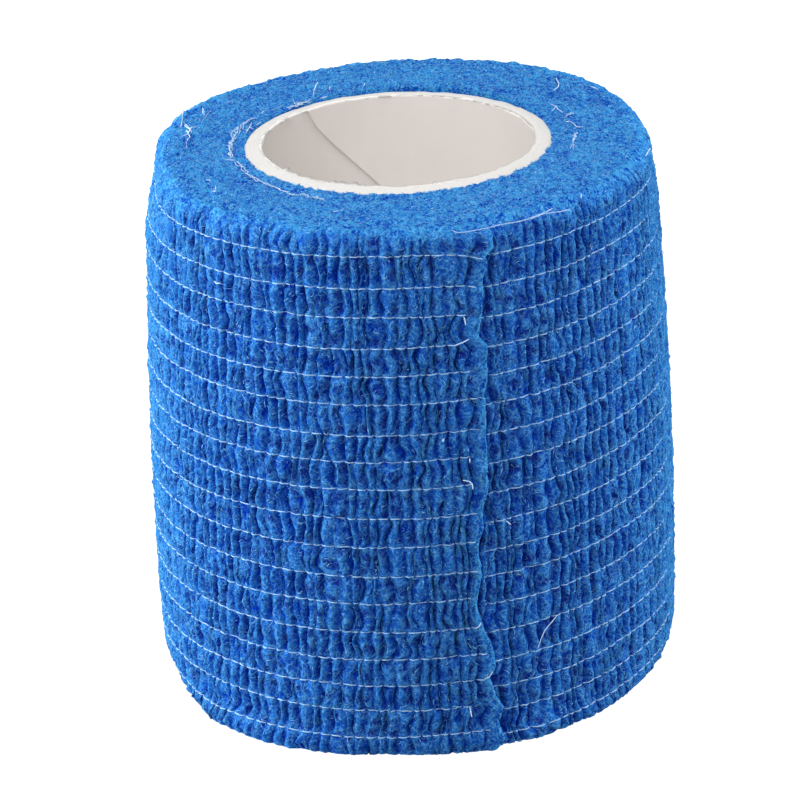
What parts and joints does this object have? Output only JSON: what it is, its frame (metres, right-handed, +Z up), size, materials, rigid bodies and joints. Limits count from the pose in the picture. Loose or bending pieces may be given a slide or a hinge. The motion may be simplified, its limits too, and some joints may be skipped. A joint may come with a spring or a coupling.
{
  "type": "cohesive bandage roll",
  "caption": "Roll of crinkled self-gripping elastic bandage wound on a cardboard tube, standing upright, with its cut end lying flat at the front.",
  "frame": {"origin": "middle of the roll's box at the lower face, on the surface it stands on", "axes": "+Z up along the tube, -Y is the front that the cut end faces, +X to the right of it"},
  "size_m": [0.049, 0.0498, 0.0504],
  "materials": {
    "tube_cardboard": "matt cream board, peeled a little at its rim",
    "wound_cloth": "matt bright blue nonwoven, felted on the cut faces",
    "outer_cloth": "matt bright blue crinkled nonwoven with fine pale lengthwise threads"
  },
  "bodies": {
    "root": {"core": "tube_cardboard", "wound_roll": "wound_cloth", "outer_turn": "outer_cloth"}
  },
  "joints": []
}
